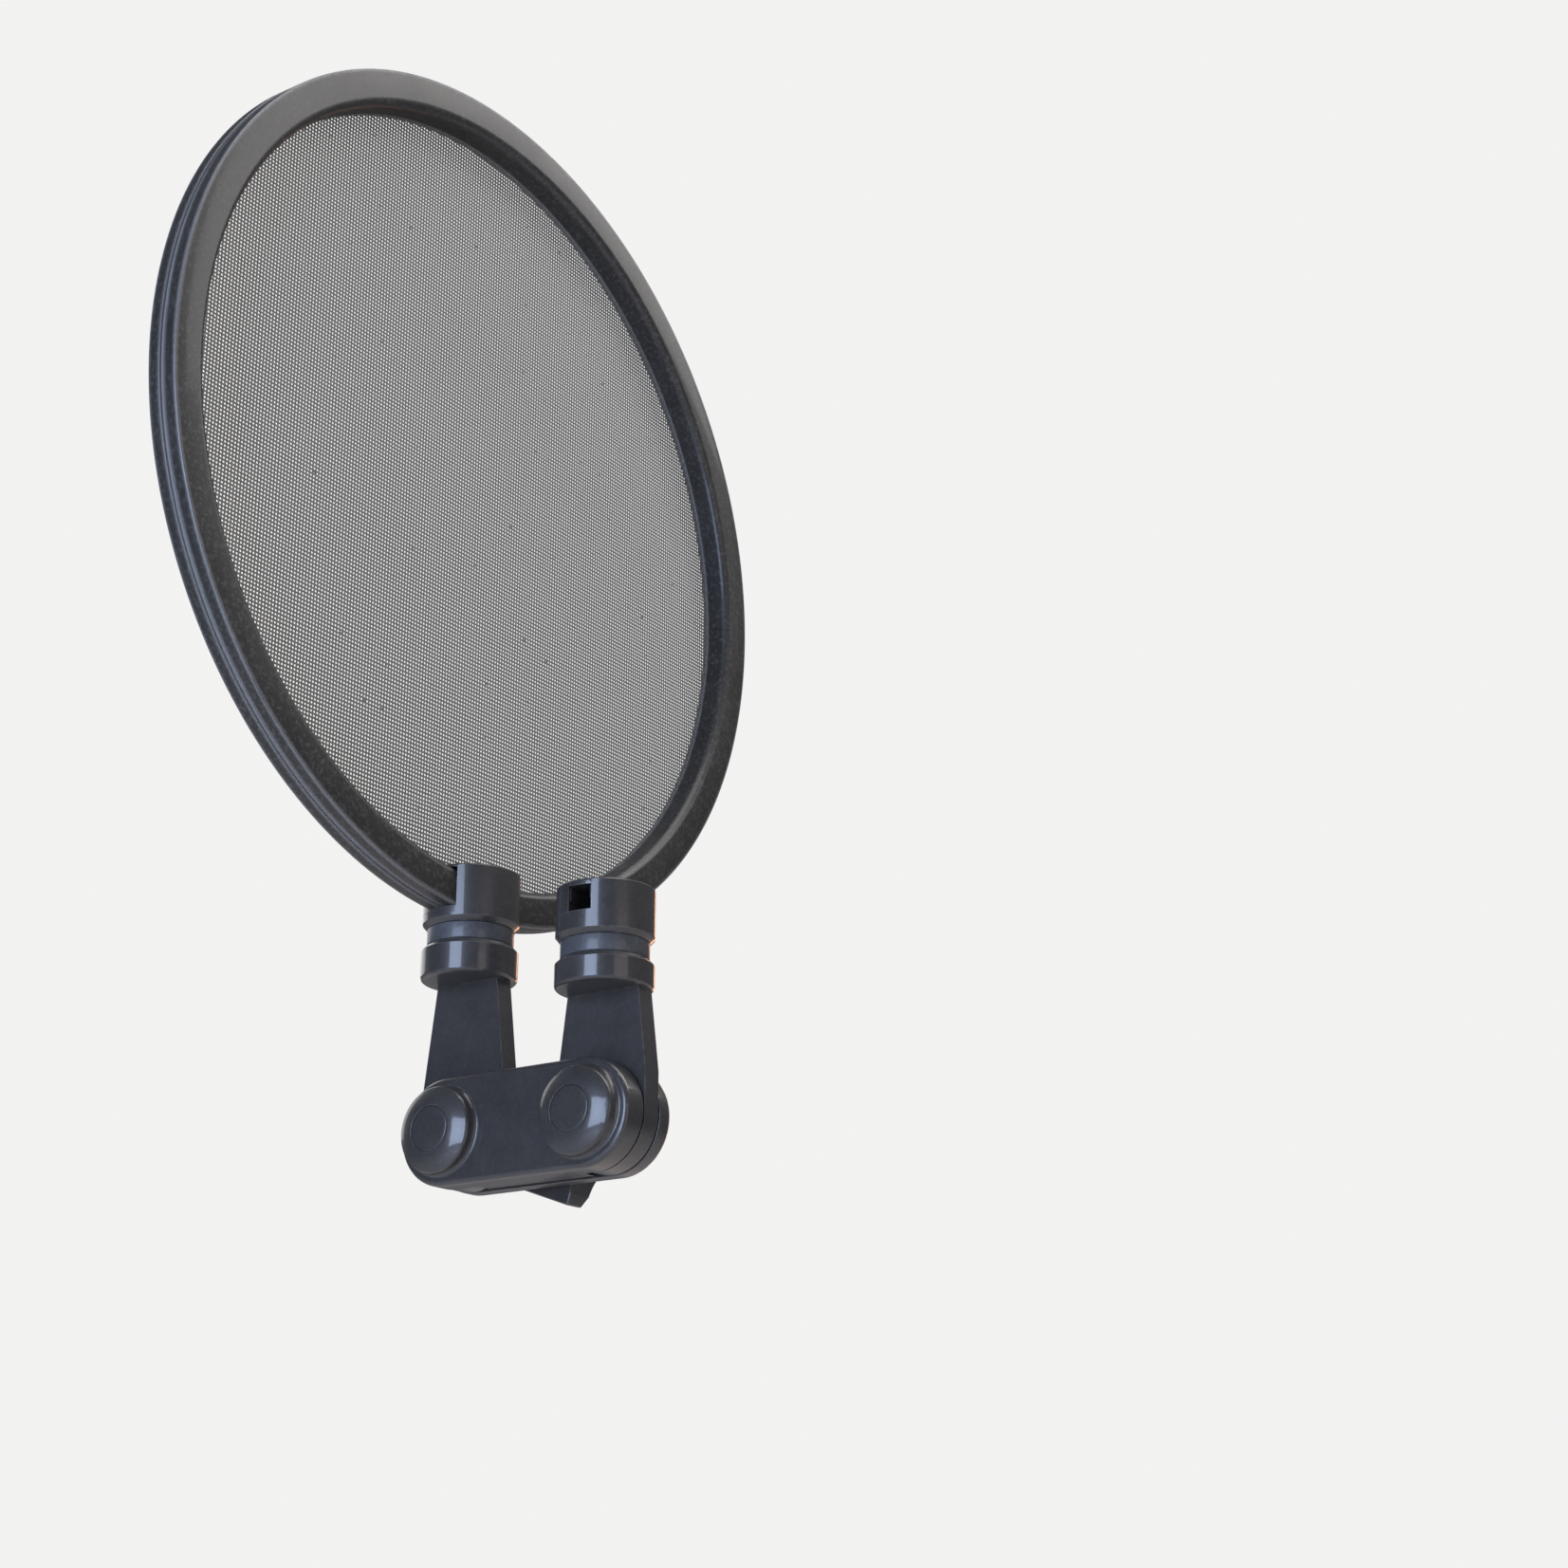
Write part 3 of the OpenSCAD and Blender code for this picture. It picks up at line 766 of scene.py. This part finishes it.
class POPFILTER_OT_hoop(bpy.types.Operator):
    """Turns the two halves of the hoop, with the seam between them"""

    bl_idname = "popfilter.hoop"
    bl_label = "Hoop"

    def execute(self, context):
        sizes = context.scene.pop_hoop
        rear_low, rear_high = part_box("hoop_rear_ring")
        front_low, front_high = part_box("hoop_front_ring")
        net_low, net_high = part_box("screen")
        centre = (0, 0, (rear_low.z + rear_high.z) / 2)
        outer = (rear_high.x - rear_low.x) / 2
        inner = net_high.x - sizes.net_grip
        rear, middle, front = rear_low.y, front_low.y, front_high.y
        net = (net_low.y + net_high.y) / 2
        net_rear, net_front = net - sizes.net_gap, net + sizes.net_gap
        soft, small, tiny = sizes.soft_edge, sizes.edge_break, sizes.seam_round
        seam_rear, seam_front = middle - sizes.seam_width / 2, middle + sizes.seam_width / 2
        seam_floor = outer - sizes.seam_depth
        joint_rear, joint_front = middle - sizes.joint_gap, middle + sizes.joint_gap
        lip = inner + sizes.lip_width
        front_wall = lip + sizes.lip_play
        rear_half = (
            [(inner, net_rear)]
            + arc(inner + soft, rear + soft, soft, 180, 270, 8)
            + arc(outer - small, rear + small, small, 270, 360, 4)
            + arc(outer - tiny, seam_rear - tiny, tiny, 0, 90, 3)
            + [(seam_floor, seam_rear), (seam_floor, joint_rear)]
            + [(lip, joint_rear), (lip, net_rear)]
        )
        piece = turned("hoop_rear", rear_half, centre, (0, 1, 0), sizes.steps)
        finish_piece(piece, hoop_enamel(), "hoop", "hoop_paint", "hoop_rear_ring")
        front_half = (
            [(front_wall, joint_front), (seam_floor, joint_front), (seam_floor, seam_front)]
            + arc(outer - tiny, seam_front + tiny, tiny, 270, 360, 3)
            + arc(outer - small, front - small, small, 0, 90, 4)
            + arc(inner + small, front - small, small, 90, 180, 4)
            + [(inner, net_front), (front_wall, net_front)]
        )
        piece = turned("hoop_front", front_half, centre, (0, 1, 0), sizes.steps)
        finish_piece(piece, hoop_enamel(), "hoop", "hoop_paint", "hoop_front_ring")
        repaint(["tension_ring"], black_moulding())
        return {"FINISHED"}


class POPFILTER_OT_net(bpy.types.Operator):
    """Stretches the woven net inside the hoop"""

    bl_idname = "popfilter.net"
    bl_label = "Net"

    def execute(self, context):
        sizes = context.scene.pop_net
        low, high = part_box("screen")
        radius = (high.x - low.x) / 2
        middle = (low.y + high.y) / 2
        select_nothing()
        bpy.ops.mesh.primitive_circle_add(
            vertices=192,
            radius=radius,
            fill_type="TRIFAN",
            location=(0, middle - sizes.fabric_depth / 2, (low.z + high.z) / 2),
            rotation=(pi / 2, 0, 0),
        )
        piece = bpy.context.object
        piece.name = "pop_net"
        bpy.ops.object.mode_set(mode="EDIT")
        bpy.ops.mesh.select_all(action="SELECT")
        bpy.ops.mesh.subdivide(number_cuts=3)
        place_in_mesh(piece)
        apply_modifier(piece, "SOLIDIFY", thickness=sizes.fabric_depth, offset=-1)
        finish_piece(piece, woven_net(sizes), "hoop", "mesh", "screen")
        return {"FINISHED"}


class POPFILTER_OT_clamps(bpy.types.Operator):
    """Casts the clamp heads that grip the ring and the hoop, with their screws and pads"""

    bl_idname = "popfilter.clamps"
    bl_label = "Clamps"

    def execute(self, context):
        edge = context.scene.pop_paint.edge
        for node, body in (
            ("ring_clamp_body", "ring_clamp"),
            ("ring_clamp_jaw", "ring_clamp"),
            ("hoop_clamp_body", "hoop"),
            ("hoop_clamp_jaw", "hoop"),
        ):
            piece = cast_copy(node, node + "_cast", edge)
            finish_piece(piece, dark_enamel(), body, "dark_paint", node)
        repaint(["ring_clamp_screws", "hoop_clamp_screws"], black_steel())
        repaint(["ring_clamp_pads"], rubber_pad())
        return {"FINISHED"}


class POPFILTER_OT_swivels(bpy.types.Operator):
    """Casts the two arms with their collars and turns the friction rings above them"""

    bl_idname = "popfilter.swivels"
    bl_label = "Swivels and arms"

    def execute(self, context):
        sizes = context.scene.pop_swivel
        edge = context.scene.pop_paint.edge
        for side, body in (("inner", "inner_arm"), ("outer", "outer_arm")):
            arm = cast_copy(side + "_arm", side + "_arm_cast", edge, 3)
            finish_piece(arm, dark_enamel(), body, "dark_paint", side + "_arm")
            low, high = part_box(side + "_friction_ring")
            centre = ((low.x + high.x) / 2, (low.y + high.y) / 2, low.z)
            radius, height = (high.x - low.x) / 2, high.z - low.z
            bore, small = sizes.bore, sizes.ring_edge
            seat, seat_floor = radius * sizes.seat_share, height - sizes.seat_depth
            profile = (
                [(bore, 0)]
                + arc(radius - small, small, small, 270, 360, 4)
                + arc(radius - small, height - small, small, 0, 90, 4)
                + [(seat, height), (seat, seat_floor), (bore, seat_floor)]
            )
            ring = turned(side + "_friction_ring_turned", profile, centre, (0, 0, 1))
            finish_piece(ring, ring_enamel(), body, "grey_ring", side + "_friction_ring")
        repaint(["inner_swivel_stud", "outer_swivel_stud"], plain_steel())
        repaint(["inner_wave_washer", "outer_wave_washer"], plain_steel())
        repaint(["inner_grub_screw", "outer_grub_screw"], black_steel())
        return {"FINISHED"}


class POPFILTER_OT_link(bpy.types.Operator):
    """Casts the link's plates and turns the caps over its pivots"""

    bl_idname = "popfilter.link"
    bl_label = "Link"

    def execute(self, context):
        sizes = context.scene.pop_link
        edge = context.scene.pop_paint.edge
        for node in ("front_link_plate", "back_link_plate", "link_spacer"):
            piece = cast_copy(node, node + "_cast", edge)
            finish_piece(piece, dark_enamel(), "link", "dark_paint", node)
        low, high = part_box("pivot_caps")
        radius, height = (high.z - low.z) / 2, high.x - low.x
        small, middle = sizes.cap_edge, (low.z + high.z) / 2
        profile = (
            [(0, 0), (radius * sizes.cap_flat, 0)]
            + arc(radius - small, small, small, 270, 360, 4)
            + [(radius, height), (0, height)]
        )
        for name, along, nodes in (
            ("inner_pivot_cap", low.y + radius, ["pivot_caps"]),
            ("outer_pivot_cap", high.y - radius, []),
        ):
            cap = turned(name, profile, (low.x, along, middle), (1, 0, 0), closed=False)
            finish_piece(cap, dark_enamel(), "link", "dark_paint", *nodes)
        repaint(["pivot_screws", "pivot_nuts", "clamp_stud", "knob_washer"], plain_steel())
        repaint(["pivot_washers"], nylon_washer())
        return {"FINISHED"}


class POPFILTER_OT_knob(bpy.types.Operator):
    """Moulds the wing knob and its brass insert"""

    bl_idname = "popfilter.knob"
    bl_label = "Knob"

    def execute(self, context):
        edge = context.scene.pop_link.knob_edge
        knob = cast_copy("wing_knob", "wing_knob_moulded", edge, 3)
        finish_piece(knob, dark_enamel(), "knob", "dark_paint", "wing_knob")
        repaint(["knob_insert"], brass_insert())
        return {"FINISHED"}


# ---- stage ---------------------------------------------------------------------------


def soft_light(name, toward, distance, size, watts, colour):
    """A softbox that stands in a direction from the object and faces it."""
    toward = Vector(toward).normalized()
    centre = (CAD_BOX[0] + CAD_BOX[1]) / 2
    lamp = bpy.data.lights.new(name, "AREA")
    lamp.shape = "RECTANGLE"
    lamp.size, lamp.size_y = size
    lamp.energy, lamp.color = watts, colour
    holder = bpy.data.objects.new(name, lamp)
    holder.location = centre + toward * distance
    holder.rotation_mode = "QUATERNION"
    holder.rotation_quaternion = (-toward).to_track_quat("-Z", "Y")
    holder.visible_camera = False
    bpy.context.scene.collection.objects.link(holder)


class POPFILTER_OT_stage(bpy.types.Operator):
    """Sets up the camera, the soft lights and the pale floor"""

    bl_idname = "popfilter.stage"
    bl_label = "Stage"

    def execute(self, context):
        sizes = context.scene.pop_stage
        lens = bpy.data.cameras.new("camera")
        lens.lens, lens.sensor_width = sizes.lens, sizes.sensor
        lens.clip_start, lens.clip_end = 0.01, 50
        camera = bpy.data.objects.new("camera", lens)
        camera.matrix_world = (
            Matrix.Translation(sizes.camera_place)
            @ Matrix.Rotation(-sizes.heading, 4, "Z")
            @ Matrix.Rotation(pi / 2 + sizes.pitch, 4, "X")
            @ Matrix.Rotation(sizes.roll, 4, "Z")
        )
        context.scene.collection.objects.link(camera)
        context.scene.camera = camera

        for name, toward, distance, size, watts, colour in (
            ("strip_light", (-0.967, -0.095, -0.02), 1.2, (0.62, 0.72), 11.5, (0.58, 0.72, 1.0)),
            ("warm_light", (0.95, 0.30, 0.10), 1.1, (0.12, 0.9), 1.8, (1.0, 0.50, 0.28)),
            ("top_light", (0.1, -0.3, 1.0), 1.3, (1.0, 1.0), 8, (1.0, 0.98, 0.95)),
            ("face_light", (0.70, -0.58, 0.82), 1.4, (0.7, 0.6), 4.6, (1.0, 0.98, 0.96)),
            ("fill_light", (-0.25, -0.95, -0.05), 1.4, (0.8, 0.8), 2.2, (1.0, 0.88, 0.78)),
            ("back_light", (0.35, 1.0, 0.45), 1.4, (1.0, 1.0), 4, (1.0, 0.99, 0.97)),
            ("low_light", (0.77, -0.2, -0.60), 1.0, (0.12, 0.12), 1.5, (1.0, 0.50, 0.25)),
        ):
            soft_light(name, toward, distance, size, watts, colour)

        select_nothing()
        bpy.ops.mesh.primitive_plane_add(
            size=sizes.floor_width, location=(0, 0, sizes.floor_height)
        )
        floor = bpy.context.object
        floor.name = "floor"
        paper, wires, shader = material("paper_floor")
        place = wires.node("ShaderNodeTexCoord", output="Object")
        shade = wires.noise(place, 3, detail=2.0)
        pale = shade.blend((0.84, 0.84, 0.84), (0.88, 0.88, 0.88))
        shown = wires.node("ShaderNodeLightPath", output="Is Camera Ray")
        glow = shown.blend((0, 0, 0), (0.44, 0.44, 0.45))
        connect(shader, Base_Color=pale, Roughness=0.9, Emission_Color=glow, Emission_Strength=1.0)
        floor.data.materials.append(paper)

        world = bpy.data.worlds.new("studio")
        context.scene.world = world
        world.use_nodes = True
        tree = world.node_tree
        tree.nodes.clear()
        wires = Wire(tree)
        seen = wires.node("ShaderNodeLightPath", output="Is Camera Ray")
        backdrop = wires.node(
            "ShaderNodeBackground", {}, {"Color": (0.895, 0.89, 0.885, 1), "Strength": 1.0}
        )
        room = wires.node(
            "ShaderNodeBackground", {}, {"Color": (0.60, 0.62, 0.68, 1), "Strength": 0.20}
        )
        both = wires.node("ShaderNodeMixShader", {}, {0: seen, 1: room, 2: backdrop})
        end = tree.nodes.new("ShaderNodeOutputWorld")
        tree.links.new(both.socket, end.inputs["Surface"])
        context.scene.view_settings.view_transform = "Standard"
        return {"FINISHED"}


class POPFILTER_PT_panel(bpy.types.Panel):
    """Lists the pieces of the pop filter and their settings"""

    bl_idname = "POPFILTER_PT_panel"
    bl_label = "Pop Filter"
    bl_space_type = "VIEW_3D"
    bl_region_type = "UI"
    bl_category = "Pop Filter"

    def draw(self, context):
        layout = self.layout
        for operator in OPERATORS:
            layout.operator(operator.bl_idname)
        for owner, group in GROUPS.items():
            box = layout.box()
            for name in group.__annotations__:
                box.prop(getattr(context.scene, owner), name)


GROUPS = {
    "pop_hoop": HoopSettings,
    "pop_net": NetSettings,
    "pop_swivel": SwivelSettings,
    "pop_link": LinkSettings,
    "pop_paint": PaintSettings,
    "pop_stage": StageSettings,
}
OPERATORS = (
    POPFILTER_OT_stage,
    POPFILTER_OT_hoop,
    POPFILTER_OT_net,
    POPFILTER_OT_clamps,
    POPFILTER_OT_swivels,
    POPFILTER_OT_link,
    POPFILTER_OT_knob,
)
CLASSES = (*GROUPS.values(), *OPERATORS, POPFILTER_PT_panel)


def register():
    for each in CLASSES:
        bpy.utils.register_class(each)
    for name, group in GROUPS.items():
        setattr(bpy.types.Scene, name, bpy.props.PointerProperty(type=group))


def unregister():
    for name in GROUPS:
        delattr(bpy.types.Scene, name)
    for each in reversed(CLASSES):
        bpy.utils.unregister_class(each)


def main():
    """Makes every piece."""
    register()
    bpy.ops.popfilter.stage()
    bpy.ops.popfilter.hoop()
    bpy.ops.popfilter.net()
    bpy.ops.popfilter.clamps()
    bpy.ops.popfilter.swivels()
    bpy.ops.popfilter.link()
    bpy.ops.popfilter.knob()
    select_nothing()


if __name__ == "__main__":
    main()
